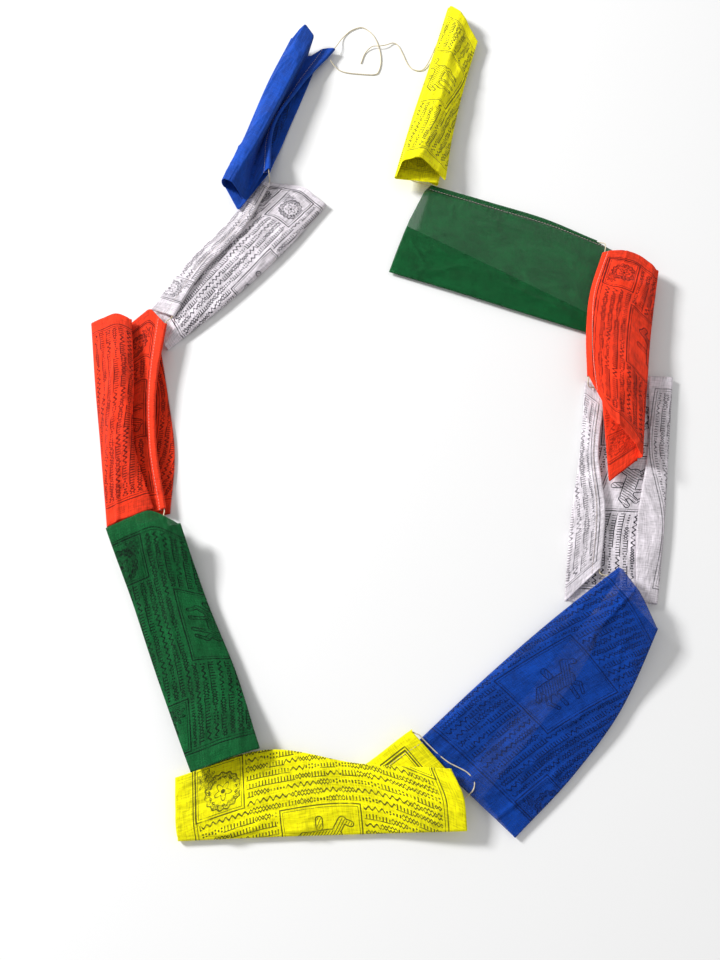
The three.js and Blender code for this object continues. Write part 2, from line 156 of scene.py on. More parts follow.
# the loose loop at the first flag and the loose tail at the last one, which crosses over it
looseEnds = {
    "loop": [
        (-30.1, 518.9, 6), (-26.6, 525, 4.8), (-22, 536, 1.9), (-17, 543.5, 0.8), (-10, 550.5, 0.8),
        (1, 555, 0.8), (10, 550, 0.8), (17, 540, 0.8), (22, 525, 0.8), (24, 508, 0.8), (22, 494, 0.8),
        (17, 487.5, 0.8), (1, 488, 0.8), (-15, 490, 0.8), (-24, 493.5, 1.2), (-30, 498.5, 3.2),
        (-34, 504, 5.4)
    ],
    "tail": [
        (102.4, 533.9, 2.2), (102.6, 539.4, 2.2), (96.8, 542.2, 2.2), (92.4, 537.5, 2.2), (87, 526, 2.2),
        (81, 510, 1.8), (75, 498, 1.2), (69, 492.8, 0.8), (60, 495, 0.8), (54, 503, 0.8), (49, 517, 0.8),
        (44, 528.5, 0.8), (38, 532, 1.2), (30, 528, 2.5), (22.4, 526, 3.1), (14, 526, 2.1),
        (6, 518, 0.8), (1, 503, 0.8)
    ],
}
for name, far in (("loop", "object"), ("tail", "bare")):
    route = smoothRoute(looseEnds[name], twine["step"])
    made = makeTwine("twine_" + name, route)
    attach(made, "root")
    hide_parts("string_" + name)
    print("twine", name, round(routeLength(route)), "mm")


def rowAt(start, end, across, height, **turn):
    # A row of a flag, from start to end along the string. Across, to its left, and height are even values;
    # turn is back, the height at which the cloth comes back at a fold, or soft, the reach of an open crease.
    return {"along": (start, end), "across": across, "height": height, **turn}


# The flags, each with its rows from the string to the lower edge. place and turn set its frame in the plan,
# and lift raises it. The panel after the row face is the one seen, by its reverse where shown is "back".
# loose is how far the cloth after each row is crumpled; flap is the side to which the hem is turned.
flags = {
    "blue_1": {"face": 4, "shown": "back", "loose": [0.2, 0.4, 0.3, 1.8, 2.0, 0.3, 0.4, 0.3, 0.3],
               "dye": "blue", "place": (-70, 552), "turn": -105, "lift": [0, 0, 1, 11.3],
               "flap": "under", "rows": [
        rowAt(22, 208, [47, 26, 13, 27], [6, 11, 12, 9]),
        rowAt(24, 212, [34, 20, 9, 22], [5, 8, 9, 6.4], soft=3),  # tab
        rowAt(42, 250, [21, 12, 5, 14], [5, 5, 5, 4.8], soft=5),  # valley
        rowAt(20, 242, [24, 17, 9, -2], [18, 25, 27, 23], soft=3),  # top right crease
        rowAt(9, 240, [11, 3, -2, -9], [20, 23, 24, 21], soft=3),  # top middle
        rowAt(27, 236, [-3, -10, -13, -17], [15, 17, 17, 15], back=0.5),  # left fold
        rowAt(40, 260, [12, 9, 6, 8], 0.5, soft=3),  # floor
        rowAt(46, 206, [33, 30, 27, 27], 0.5, back=2),  # right fold
        rowAt(38, 226, [5, -3, -5, -9], 2, back=3.5),  # inner left fold
        rowAt(36, 228, [27, 22, 20, 19], 3.5),
    ]},
    "white_1": {"face": 2, "loose": [0.3, 1.6, 2.0, 0.2, 0.2], "dye": "white",
                "place": (-59, 344), "turn": -126.5, "lift": 0, "flap": "under", "rows": [
        rowAt(31, 216, [-26, -14, -16, -6], 9),
        rowAt(30, 222, [-35.5, -32, -35, -30], [7, 9, 9, 8], back=[4.4, 5, 5, 5]),  # left fold
        rowAt(10, 238, [4, 5, 0, -6], [5.5, 6.5, 6.5, 5.5], soft=8),  # upper middle
        rowAt(13, 246, [38, 36, 27, 12], [6, 7, 7, 6], back=0.5),  # right fold
        rowAt(36, 226, [-26, -25, -28, -24], 0.5, back=2.6),  # under left fold
        rowAt(30, 240, [22, 23, 17, 5], 2.6),
    ]},
    "red_1": {"face": 4, "loose": [0.7, 0.4, 0.8, 1.4, 2.4, 0.4, 0.3], "dye": "red",
              "place": (-240, 186), "turn": -83, "lift": 0, "flap": "over", "rows": [
        rowAt(29, 223, [39, 25, 21, 26], [15, 14, 12, 8.5]),
        rowAt(8, 224, [25, 15, 11, 17], [14, 9, 8, 6], soft=5),  # hem strip
        rowAt(24, 222, [-2, -9, -10, 7], [10, 7, 7, 5], back=[14, 11, 11, 7.4]),  # hidden fold
        rowAt(21, 222, [6, 5, 2, 16], [16, 16, 16, 8], back=[18.6, 19, 18, 10.2]),  # panel edge
        rowAt(13, 227, [-8, -4, -4, -3], [21, 24, 23, 12], soft=6),  # ridge
        rowAt(17, 233, [-37, -35, -32, -30], [13, 14, 13, 8], back=0.5),  # left fold
        rowAt(42, 226, [30, 35, 38, 30], 0.5, back=3),  # right fold
        rowAt(42, 226, [-8, -2, -1, -8], 2.8),
    ]},
    "green_1": {"face": 3, "loose": [0.2, 0.3, 1.5, 1.6, 1.5, 0.3], "dye": "green",
                "place": (-210, -40), "turn": -68, "lift": [14, 1, 1, 10], "flap": "over", "rows": [
        rowAt(12, 232, [22, 14, 0, -12], 2.2),
        rowAt(8, 234, [-25, -25, -26, -25], 0.5, back=5.2),  # under left fold
        rowAt(25, 243, [35, 33, 36, 34], 5.4, back=[9.5, 10, 10, 9.5]),  # right fold
        rowAt(3, 241, [13, 6, 6, 4], [13, 14, 14, 13], soft=8),  # ridge
        rowAt(3, 241, [-8, -12, -12, -10], 10.5, soft=6),  # left trough
        rowAt(4, 240, [-31, -31, -31, -28], 9.6, back=7.4),  # left fold
        rowAt(6, 238, [-4, -3, -4, -2], 7.4),
    ]},
    "yellow_1": {"face": 3, "loose": [0.2, 0.2, 1.4, 2.2, 0.2, 0.2], "dye": "yellow",
                 "place": (-158, -300), "turn": 1, "lift": [0, 0, 0, 8], "flap": "under", "rows": [
        rowAt(26, 205, [12, 22, 21, 58], [2.2, 2.2, 2.2, 3.4]),
        rowAt(14, 236, [-6, 10, -6, 22], [0.9, 0.9, 0.9, 2.6], back=[5.3, 5.3, 5.3, 4.9]),  # hidden fold
        rowAt(-3, 238, [23, 45, 32, 26], [5.5, 5.6, 5.8, 5.8], back=[7.8, 8, 8, 8.2]),  # top fold
        rowAt(-1, 248, [-15, -12, -5, 2], [8, 10, 11, 10], soft=7),  # ridge
        rowAt(1, 249, [-29, -27, -26, -25], 6, back=0.5),  # bottom fold
        rowAt(4, 240, [-11, 3, -12, 7], 0.5, back=2),  # under left fold
        rowAt(4, 244, [-26, -24, -23, -22], 2),
    ]},
    "blue_2": {"face": 2, "loose": [0.2, 2.0, 2.4, 2.0, 0.2, 0.2], "dye": "blue",
               "place": (96, -286), "turn": 46, "lift": [0, 0, 2, 11.5], "flap": "over", "rows": [
        rowAt(2, 226, [17, 18, 22, 26], [2.2, 2.2, 4, 7.2]),
        rowAt(-7, 239, [60, 54, 45, 32], [1.2, 2, 3, 5], back=[5.4, 7, 8, 10]),  # left fold
        rowAt(-5, 236, [27, 25, 20, 17], [7, 8.6, 10.5, 12.5], soft=8),  # left ridge
        rowAt(-4, 232, [-12, -8, -4, 1], [6.6, 8, 10, 12], soft=8),  # right ridge
        rowAt(-3, 220, [-55, -58, -52, -30], [4.6, 5.4, 6, 7], back=2.6),  # right fold
        rowAt(2, 226, [-14, -10, -4, 18], 2.6, back=0.5),  # under left fold
        rowAt(0, 222, [-28, -26, -24, -20], 0.5),
    ]},
    "white_2": {"face": 1, "loose": [0.8, 0.9, 0.2, 0.3, 1.0], "dye": "white",
                "place": (237, -123), "turn": 81, "lift": 0, "flap": "under", "rows": [
        rowAt(30, 205, [18, 19, 29, 27], [8, 10, 8, 7.4]),
        rowAt(-5, 221, [47, 48, 45, 46], [6.5, 8, 7.2, 6.3], back=[4.7, 4.7, 4.4, 4.2]),  # left fold
        rowAt(2, 232, [-30, -30], [4.7, 4.7, 4.4, 4.2], back=2.4),  # middle right fold
        rowAt(2, 230, [10, 10], 2.4, back=0.5),  # middle left fold
        rowAt(6, 239, [-39, -41, -41, -41], 0.5, back=[6.4, 7.5, 6.8, 6.4]),  # right fold
        rowAt(6, 236, [-18, -14, -20, -16], [7.2, 9, 7.4, 6.6]),
    ]},
    "red_2": {"face": 2, "loose": [0.9, 2.2, 2.2, 0.4, 0.2, 0.2], "dye": "red",
              "place": (257, 15), "turn": 82, "lift": [11, 11, 7, 7], "flap": "under", "rows": [
        rowAt(82, 228, [42, 46, 44, 34], [8, 8, 8, 7]),
        rowAt(35, 230, [20, 32, 34, 20], [19, 18, 16, 13], soft=7),  # shoulder
        rowAt(22, 228, [5, 9, 8, 3], [20, 20, 18, 14], soft=8),  # top
        rowAt(4, 214, [-14, -15, -18, -23], [14, 13, 11, 9], back=3.6),  # right fold
        rowAt(-22, 221, [15, 26, 40, 33], 3.6, back=0.5),  # under left fold
        rowAt(2, 214, [-11, -12, -15, -20], 0.5, back=2),  # under right fold
        rowAt(-4, 216, [5, 18, 26, 20], 2),
    ]},
    "green_2": {"face": 2, "shown": "back", "loose": [0.3, 1.6, 2.2, 0.2, 0.2], "dye": "green",
                "place": (261, 206), "turn": 159.5, "lift": 0, "flap": "over", "rows": [
        rowAt(30, 218, [-51, -56, -55, -55], [5, 7, 7, 5]),
        rowAt(7, 222, [-47, -50, -49, -49], [3.6, 5.6, 5.6, 3.6], soft=2),  # hem side
        rowAt(4, 225, [-4, 0, 0, 0], [5.2, 8, 8, 6], soft=10),  # middle
        rowAt(-4, 224, [54, 56, 57, 59], [4.6, 6.5, 6.5, 5.2], back=2.6),  # bottom fold
        rowAt(1, 225, [34, 22, 10, -1], 2.6, back=0.5),  # under top fold
        rowAt(-2, 224, [50, 52, 52, 53], 0.5),
    ]},
    "yellow_2": {"face": 4, "loose": [0.2, 0.3, 0.9, 1.6, 1.8, 0.3], "dye": "yellow",
                 "place": (65, 339), "turn": 78, "lift": [8, 1, 0, 0], "flap": "over", "rows": [
        rowAt(8, 198, [14, 10, 8, 4], 2.2),
        rowAt(-3, 196, [-20, -20, -20, -22], 0.5, back=5.4),  # under right fold
        rowAt(-7, 239, [27, 24, 18, 13], 5.6, back=[9.5, 11, 11, 10]),  # left fold
        rowAt(5, 238, [21, 18, 13, 9], [22, 18, 16, 14], soft=3),  # lip
        rowAt(11, 229, [2, -2, -3, -3], [25, 25, 22, 17], soft=4),  # top crease
        rowAt(1, 199, [-27, -24, -25, -29], 9.6, back=7.6),  # right fold
        rowAt(26, 198, [6, 6, 4, 0], 7.6),
    ]},
}

# the string between two hems, where it doesn't run straight from one to the next
stringBetween = {
    "green_1": [
        (-132.8, -262.6, 11.4), (-134.2, -264.4, 9), (-137, -264.6, 6.2), (-140, -266.4, 3.8),
        (-142, -271.5, 2.5), (-141.6, -280, 2.2), (-137.4, -286.4, 2.2)
    ],
    "yellow_1": [
        (49.2, -240, 11.4), (52, -241, 11), (55, -244, 10), (60, -249, 8.6), (69, -257.5, 8.3),
        (78, -264.5, 8.4), (87, -269, 8.6), (94, -273, 8.8), (99.5, -280, 8.9), (98.5, -287, 8.9),
        (94.5, -291, 8.7), (89.5, -294.6, 7), (84.5, -293.5, 4.5), (81.3, -288.5, 2.5),
        (81, -281.5, 2.2), (83, -275.6, 2.2)
    ],
    "blue_2": [
        (236.9, -104.2, 18.9), (239.7, -104.4, 17), (239, -100.5, 13.5), (234, -97.2, 10.5),
        (228, -97, 8.9), (224.2, -94.6, 8.2)
    ],
    "white_2": [
        (243.1, 88, 7.4), (241, 92.6, 7.6), (235, 94.6, 8.4), (229, 93.8, 11), (226.3, 95.4, 15),
        (226.3, 98.8, 18.2)
    ],
    "red_2": [(256.6, 250, 13.5), (258, 256, 11), (258, 261, 7.8), (255.2, 263, 5.8)],
    "green_2": [(72.5, 335.6, 4.9), (67, 337.6, 4.9), (60.6, 339, 5.8), (55, 340.4, 8), (53, 344.5, 9.8)],
}


def stretchAt(values, t):
    # Which stretch between two even values each t lies in, and its share of that stretch.
    at = t * (len(values) - 1)
    i = np.clip(np.floor(at).astype(int), 0, len(values) - 2)
    return i, at - i


def through(values, t):
    # A curve of cubics through even values.
    values = np.asarray(values, dtype=float)
    ends = np.concatenate([[2 * values[0] - values[1]], values, [2 * values[-1] - values[-2]]])
    i, u = stretchAt(values, t)
    return cubic(ends[i], ends[i + 1], ends[i + 2], ends[i + 3], u)


def easedThrough(values, t):
    # Even values joined by half waves, so that nothing falls below both neighbours.
    values = np.asarray(values, dtype=float)
    if values.ndim == 0:
        return np.full_like(t, float(values))
    i, u = stretchAt(values, t)
    u = np.clip(u, 0, 1)
    return values[i] + (values[i + 1] - values[i]) * u * u * (3 - 2 * u)


def rowPoints(flag, row, t, level):
    # Along, across and height of one row at the stations t.
    along = row["along"][0] + (row["along"][1] - row["along"][0]) * t
    height = easedThrough(flag["lift"], t) + easedThrough(row.get(level, row["height"]), t)
    return np.stack([along, through(row["across"], t), height], axis=-1)


def hemStretches(flag, t):
    # The flap, then half a turn round the string, widened where the hem slants.
    first = flag["rows"][0]
    string, following = (rowPoints(flag, row, t, "height") for row in flag["rows"][:2])
    run = following[:, 1:] - string[:, 1:]
    depth = np.linalg.norm(run, axis=1, keepdims=True)
    run = run / depth
    side = np.stack([-run[:, 1], run[:, 0]], axis=1)
    side *= np.where((side[:, 1:] > 0) == (flag["flap"] == "under"), 1, -1)
    reach = 0.5 / (twine["hemStations"] - 1)
    drift = through(first["across"], t + reach) - through(first["across"], t - reach)
    slant = np.hypot(1, drift / (2 * reach * (first["along"][1] - first["along"][0])))
    radius = cloth["hemRadius"]
    share = np.minimum(cloth["hemWidth"] / depth, cloth["longestFlap"])
    leaving = string.copy()
    leaving[:, 1:] += side * radius
    flap = leaving + (following - leaving) * share
    flap[:, 1:] -= side * cloth["flapSpacing"]
    angle = np.linspace(0, np.pi, cloth["hemCuts"])[None, :, None]
    arc = np.repeat(string[:, None, :], cloth["hemCuts"], axis=1)
    arc[..., 1:] -= radius * (side[:, None, :] * np.cos(angle) + run[:, None, :] * np.sin(angle))
    points = np.concatenate([flap[:, None, :], arc], axis=1)
    points[..., 1] = string[:, None, 1] + slant[:, None] * (points[..., 1] - string[:, None, 1])
    return points


def foldStretch(before, arriving, leaving):
    # Half an ellipse from the arriving layer to the one that comes back.
    outward = np.sign(arriving[:, 1] - before[:, 1])
    half = (leaving[:, 2] - arriving[:, 2]) / 2
    bulge = np.minimum(np.abs(half), cloth["foldBulge"])
    angle = np.linspace(0, np.pi, cloth["foldCuts"])[None, :]
    across = arriving[:, None, 1] + (outward * bulge)[:, None] * (np.sin(angle) - 1)
    height = arriving[:, None, 2] + half[:, None] * (1 - np.cos(angle))
    along = np.repeat(arriving[:, :1], cloth["foldCuts"], axis=1)
    return np.stack([along, across, height], axis=-1)


def creaseStretch(before, corner, after, soft):
    # A quadratic curve that leaves one panel and joins the next, soft millimetres to either side.
    def toward(other):
        gap = np.linalg.norm(other - corner, axis=1, keepdims=True)
        return corner + (other - corner) * np.minimum(soft / gap, cloth["creaseShare"])
    start, end = toward(before)[:, None, :], toward(after)[:, None, :]
    u = np.linspace(0, 1, cloth["creaseCuts"])[None, :, None]
    return start * (1 - u) ** 2 + corner[:, None, :] * 2 * u * (1 - u) + end * u ** 2


def flagSections(flag, t):
    # The mid sheet at the stations t, and for each point the row that it lies after.
    rows = flag["rows"]
    parts, owners = [hemStretches(flag, t)], [np.linspace(-1, 0, cloth["hemCuts"] + 1)]
    for k in range(1, len(rows) - 1):
        before = rowPoints(flag, rows[k - 1], t, "back") if k > 1 else parts[-1][:, -1]
        here = rowPoints(flag, rows[k], t, "height")
        if "back" in rows[k]:
            part = foldStretch(before, here, rowPoints(flag, rows[k], t, "back"))
        else:
            part = creaseStretch(before, here, rowPoints(flag, rows[k + 1], t, "height"), rows[k]["soft"])
        parts.append(part)
        owners.append(np.full(part.shape[1], float(k)))
    parts.append(rowPoints(flag, rows[-1], t, "height")[:, None, :])
    owners.append(np.array([len(rows) - 1.0]))
    return np.concatenate(parts, axis=1), np.concatenate(owners)


# creases, in millimetres: lengths along the string and across it, how sharply a ridge falls off, its power
# and its share of the height
creases = {
    "lattice": 64,
    "long": {"size": (75, 15), "fall": 2.2, "power": 1.5, "share": 0.95},
    "slanted": {"size": (34, 22), "lean": (0.8, 0.35), "fall": 3, "power": 2, "share": 0.6},
    "fine": {"size": (9, 6), "share": 0.14}, "base": 0.1,
    "looseCrease": 0.7, "looseEdge": 0.6, "tighten": 4,
    "pucker": {"row": 9, "reach": 7, "wave": 7.5, "size": (20, 9), "waver": 2, "height": 0.22},
}


def softNoise(x, y, seed):
    # Random values on a square lattice, joined by half waves, from -1 to 1.
    count = creases["lattice"]
    lattice = np.random.default_rng(seed).uniform(-1, 1, (count, count))
    i, j = np.floor(x).astype(int), np.floor(y).astype(int)
    u, v = x - i, y - j
    u, v = u * u * (3 - 2 * u), v * v * (3 - 2 * v)

    def at(a, b):
        return lattice[(i + a) % count, (j + b) % count]
    low = at(0, 0) + (at(1, 0) - at(0, 0)) * u
    high = at(0, 1) + (at(1, 1) - at(0, 1)) * u
    return low + (high - low) * v


def crumple(u, v, seed):
    # Height of the cloth's creases from 0 to about 1: ridges along the string, shorter ones slantwise, and
    # a fine unevenness. A ridge is (1 - fall * size of the noise) ** power, so it stands where that is small.
    long, slanted, fine = creases["long"], creases["slanted"], creases["fine"]

    def ridge(kind, x, y, seed):
        noise = softNoise(x / kind["size"][0], y / kind["size"][1], seed)
        return np.clip(1 - np.abs(noise) * kind["fall"], 0, 1) ** kind["power"] * kind["share"]
    right, down = slanted["lean"]
    height = ridge(long, u, v, seed) + ridge(slanted, u + right * v, v - down * u, seed + 1)
    uneven = softNoise(u / fine["size"][0], v / fine["size"][1], seed + 2)
    return height + fine["share"] * uneven + creases["base"]


def denser(points, owners):
    # The section's stretches cut into even steps of about the cloth's step.
    gaps = np.median(np.linalg.norm(np.diff(points, axis=1), axis=2), axis=0)
    parts, places = [], []
    for k, gap in enumerate(gaps):
        pieces = max(int(round(gap / cloth["step"])), 1)
        share = np.arange(pieces)[None, :, None] / pieces
        parts.append(points[:, k:k + 1] + (points[:, k + 1:k + 2] - points[:, k:k + 1]) * share)
        places.append(owners[k] + np.arange(pieces) / pieces * (owners[k + 1] - owners[k]))
    return np.concatenate(parts + [points[:, -1:]], axis=1), np.concatenate(places + [owners[-1:]])


def looseness(flag, points, places):
    # How far each point may rise: a stretch's own looseness in its middle, less at its creases,
    # next to nothing at its folds, and the way that is up there.
    rows = flag["rows"]
    amounts = np.array(flag["loose"], dtype=float)
    middle = len(points) // 2
    across = [points[middle, np.argmin(np.abs(places - k)), 1] for k in range(len(rows))]
    ways = np.sign(np.diff(across))
    atRows = np.zeros(len(rows))
    for k in range(1, len(rows) - 1):
        if "back" not in rows[k] and ways[k - 1] == ways[k]:
            atRows[k] = creases["looseCrease"] * min(amounts[k - 1], amounts[k])
    atRows[-1] = creases["looseEdge"] * amounts[-1]
    stretch = np.clip(np.floor(places), 0, len(rows) - 2).astype(int)
    share = np.clip(places - stretch, 0, 1)
    near = np.clip(np.minimum(share, 1 - share) * creases["tighten"], 0, 1)
    near = near * near * (3 - 2 * near)
    edge = np.where(share < 0.5, atRows[stretch], atRows[stretch + 1])
    amount = edge + (amounts[stretch] - edge) * near
    return amount * ways[stretch]


def flagSheet(name, flag):
    # The fine mid sheet with its cloth coordinates and normals, in the flag's own frame: creased by its
    # looseness times the crumple, and puckered along the hem's seam.
    t = np.linspace(0, 1, cloth["stations"])
    points, places = denser(*flagSections(flag, t))
    run = np.linalg.norm(np.diff(points[..., 1:], axis=1), axis=2)
    down = np.concatenate([np.zeros((len(t), 1)), np.cumsum(run, axis=1)], axis=1)
    hemFold = int(np.argmin(np.abs(places + cloth["hemCuts"] // 2 / cloth["hemCuts"])))
    u = np.repeat(t[:, None] * cloth["width"], points.shape[1], axis=1)
    v = down - down[:, hemFold:hemFold + 1]

    def normals():
        n = np.cross(np.gradient(points, axis=0), np.gradient(points, axis=1))
        return n / np.linalg.norm(n, axis=2, keepdims=True)
    seed = 10 * list(flags).index(name)
    rise = looseness(flag, points, places)[None, :] * crumple(u, v, seed)
    pull = creases["pucker"]
    waver = pull["waver"] * softNoise(u / pull["size"][0], v / pull["size"][1], seed + 3)
    pucker = np.exp(-((v - pull["row"]) / pull["reach"]) ** 2) * np.sin(2 * np.pi * u / pull["wave"] + waver)
    points = points + normals() * (rise + pull["height"] * pucker)[..., None]
    points[..., 2] = np.maximum(points[..., 2], cloth["thickness"] / 2 + cloth["floorGap"])
    return points, u, v, normals(), places


def toPlan(flag, points):
    # The flag's own frame turned and moved to its place in the plan.
    turn = math.radians(flag["turn"])
    x, y = points[..., 0], points[..., 1]
    return np.stack([flag["place"][0] + x * math.cos(turn) - y * math.sin(turn),
                     flag["place"][1] + x * math.sin(turn) + y * math.cos(turn), points[..., 2]], axis=-1)


def makeCloth(name, flag):
    # Both faces of the cloth, half its thickness to either side of the mid sheet, and its four edges.
    # The mark front is one on the printed face.
    points, u, v, normal, places = flagSheet(name, flag)
    count, columns = u.shape
    upper = toPlan(flag, points + normal * cloth["thickness"] / 2).reshape(-1, 3)
    lower = toPlan(flag, points - normal * cloth["thickness"] / 2).reshape(-1, 3)
    grid = gridFaces(count, columns)
    other = count * columns
    i, j = np.arange(count - 1) * columns, np.arange(columns - 1)
    last, end = columns - 1, (count - 1) * columns

    def edge(a, b):
        return np.stack([a, b, b + other, a + other], axis=1)
    faces = [grid[:, ::-1], grid + other, edge(i, i + columns)[:, ::-1], edge(i + last, i + columns + last),
             edge(j, j + 1), edge(j + end, j + 1 + end)[:, ::-1]]
    uv = np.stack([u.ravel(), v.ravel()], axis=1) * mm
    panel = np.argmin(np.abs(places - flag["face"] - 0.5))
    upFront = (normal[count // 2, panel, 2] > 0) != (flag.get("shown") == "back")
    front = np.concatenate([np.full(other, float(upFront)), np.full(other, float(not upFront))])
    skin = toPart(np.vstack([upper, lower]))
    made = makeMesh("cloth_" + name, skin, faces, np.vstack([uv, uv]), {"front": front})
    return made, points, u, v, normal


def hemString(flag):
    return toPlan(flag, rowPoints(flag, flag["rows"][0], np.linspace(0, 1, twine["hemStations"]), "height"))


def straightAcross(ahead, following):
    # A cubic curve that leaves one hem and enters the next in their own directions, without its ends.
    start, end = ahead[-1], following[0]
    pull = np.linalg.norm(end - start) / 3
    out = start + pull * (start - ahead[-2]) / np.linalg.norm(start - ahead[-2])
    back = end + pull * (end - following[1]) / np.linalg.norm(end - following[1])
    w = np.linspace(0, 1, 8)[1:-1, None]
    rest = 1 - w
    return start * rest ** 3 + 3 * out * w * rest ** 2 + 3 * back * w * w * rest + end * w ** 3


hems = {name: hemString(flag) for name, flag in flags.items()}
names = list(flags)
stretches = []
for name, following in zip(names, names[1:] + [None]):
    stretches.append(evenRoute(hems[name], twine["step"] * 2))
    if following:
        between = stringBetween.get(name) or straightAcross(hems[name], hems[following])
        route = np.vstack([hems[name][-1], between, hems[following][0]])
        stretches.append(smoothRoute(route, twine["step"])[1:-1])
run = makeTwine("twine_run", np.vstack(stretches))
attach(run, "root")
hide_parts("string_run")
print("twine through the hems")

sheets = {}
for name, flag in flags.items():
    made, *grids = makeCloth(name, flag)
    sheets[name] = grids
    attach(made, "root")
    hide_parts("flag_" + name)
    "cloth_" + flag["dye"]
    print("cloth", name, grids[0].shape)

# stitches: a row of thread along each hem, on both sides of it
stitch = {"row": 7.4, "pitch": 3.8, "length": 2.3, "radius": 0.24, "sides": 6, "away": 0.06,
          "rings": ((-0.42, 0.75), (0, 1), (0.42, 0.75)), "tips": (-0.5, 0.5)}


def hemStitches(flag, points, u, v, normal):
    # Centres and directions of the stitches on both sides of the hem: the points of the sheet and of
    # the flap at the row's distance from the fold, moved out along the normal by half the cloth and a little.
    places = np.arange(stitch["pitch"], cloth["width"], stitch["pitch"])
    middle = len(u) // 2
    found = []
    for row in (stitch["row"], -stitch["row"]):
        column = int(np.argmin(np.abs(v[middle] - row) + (u[middle] < 0)))
        other = int(np.argmin(np.abs(v[middle] + row)))
        line, facing, opposite = points[:, column], normal[:, column], points[:, other]
        away = np.sign(np.sum((line - opposite) * facing, axis=1, keepdims=True))
        line = line + facing * away * (cloth["thickness"] / 2 + stitch["away"])
        centres = np.stack([np.interp(places, u[:, 0], line[:, k]) for k in range(3)], axis=1)
        ways = np.gradient(centres, axis=0)
        placed = toPlan(flag, centres)
        found.append(np.concatenate([placed, toPlan(flag, centres + ways) - placed], axis=1))
    return np.concatenate(found)


def stitchMesh(name, rows):
    # Every stitch the same short rod with narrowed ends: three rings and two tips.
    rows[:, 3:] /= np.linalg.norm(rows[:, 3:], axis=1, keepdims=True)
    ahead = rows[:, 3:]
    side, up = sideways(ahead)
    sides = stitch["sides"]
    angle = np.linspace(0, 2 * np.pi, sides, endpoint=False)
    rings = []
    for place, width in stitch["rings"]:
        centre = rows[:, None, :3] + ahead[:, None] * stitch["length"] * place
        rings.append(centre + stitch["radius"] * width * (side[:, None] * np.cos(angle)[:, None]
                                                          + up[:, None] * np.sin(angle)[:, None]))
    tips = [rows[:, None, :3] + ahead[:, None] * stitch["length"] * place for place in stitch["tips"]]
    points = np.concatenate(rings + tips, axis=1)
    each = points.shape[1]
    k = np.arange(sides)
    after = (k + 1) % sides
    quads = np.concatenate([np.stack([k + base, after + base, after + base + sides, k + base + sides], axis=1)
                            for base in (0, sides)])
    tip, last = 3 * sides, 2 * sides
    ends = np.concatenate([np.stack([np.full(sides, tip), after, k], axis=1),
                           np.stack([np.full(sides, tip + 1), last + k, last + after], axis=1)])
    shift = np.arange(len(rows))[:, None, None] * each
    return makeMesh(name, toPart(points.reshape(-1, 3)),
                    [(quads[None] + shift).reshape(-1, 4), (ends[None] + shift).reshape(-1, 3)])


everyStitch = np.concatenate([hemStitches(flags[name], *sheets[name]) for name in flags])
stitches = stitchMesh("hem_stitches", everyStitch)
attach(stitches, "root")
print("stitches", len(stitches.data.polygons), "faces")


def operator(operation):
    # A method of Wire that adds one Math node.
    def apply(self, other):
        return self.maths(operation, other)
    return apply


class Wire:
    # An output of a material's nodes. Arithmetic on it adds Math nodes; & is the lesser, | the greater.
    def __init__(self, graph, socket):
        self.graph = graph
        self.socket = socket

    def maths(self, operation, *others, clamp=False):
        return self.graph.node("Math", {"operation": operation, "use_clamp": clamp}, [self, *others])

    __add__ = __radd__ = operator("ADD")
    __mul__ = __rmul__ = operator("MULTIPLY")
    __sub__ = operator("SUBTRACT")
    __truediv__ = operator("DIVIDE")
    __mod__ = operator("FLOORED_MODULO")
    __and__ = operator("MINIMUM")
    __or__ = operator("MAXIMUM")
    __lt__ = operator("LESS_THAN")
    __gt__ = operator("GREATER_THAN")

    def __rsub__(self, other):
        return self.graph.node("Math", {"operation": "SUBTRACT"}, [other, self])

    def __abs__(self):
        return self.maths("ABSOLUTE")

    def floor(self):
        return self.maths("FLOOR")

    def sine(self):
        return self.maths("SINE")

    def held(self):
        # Kept between 0 and 1.
        return self.maths("ADD", 0.0, clamp=True)


class Graph:
    # The nodes of one material, which has a Principled shader.
    def __init__(self, name):
        self.material = bpy.data.materials.new(name)
        self.material.use_nodes = True
        self.tree = self.material.node_tree
        self.shader = self.tree.nodes["Principled BSDF"]

    def node(self, kind, settings, values, output=0):
        # A node of the kind: its settings first, then its sockets, set or linked. A list fills them in order.
        made = self.tree.nodes.new("ShaderNode" + kind)
        for key, value in settings.items():
            setattr(made, key, value)
        for key, value in (values.items() if isinstance(values, dict) else enumerate(values)):
            self.put(made.inputs[key], value)
        return Wire(self, made.outputs[output])

    def put(self, socket, value):
        if isinstance(value, Wire):
            self.tree.links.new(value.socket, socket)
        else:
            socket.default_value = value

    def shade(self, values):
        for key, value in values.items():
            self.put(self.shader.inputs[key], value)

    def clothPlace(self):
        # Millimetres along the hem and down from it.
        uv = self.node("UVMap", {"uv_map": "cloth"}, [])
        return [self.node("SeparateXYZ", {}, [uv], k) * (1 / mm) for k in range(2)]

    def pair(self, x, y):
        return self.node("CombineXYZ", {}, [x, y])

    def chance(self, x, y):
        return self.node("TexWhiteNoise", {"noise_dimensions": "2D"}, {"Vector": self.pair(x, y)})

    def noise(self, x, y, scale, detail):
        return self.node("TexNoise", {"noise_dimensions": "2D"},
                         {"Vector": self.pair(x, y), "Scale": scale, "Detail": detail})

    def mix(self, share, first, second):
        return self.node("Mix", {"data_type": "RGBA"}, {0: share, 6: first, 7: second}, 2)

    def vector(self, operation, values, output=0):
        return self.node("VectorMath", {"operation": operation}, values, output)


def boxDistance(u, v, box):
    # Distance outside a rectangle of starts and ends, negative inside it.
    u0, u1, v0, v1 = box
    return (abs(u - (u0 + u1) / 2) - (u1 - u0) / 2) | (abs(v - (v0 + v1) / 2) - (v1 - v0) / 2)


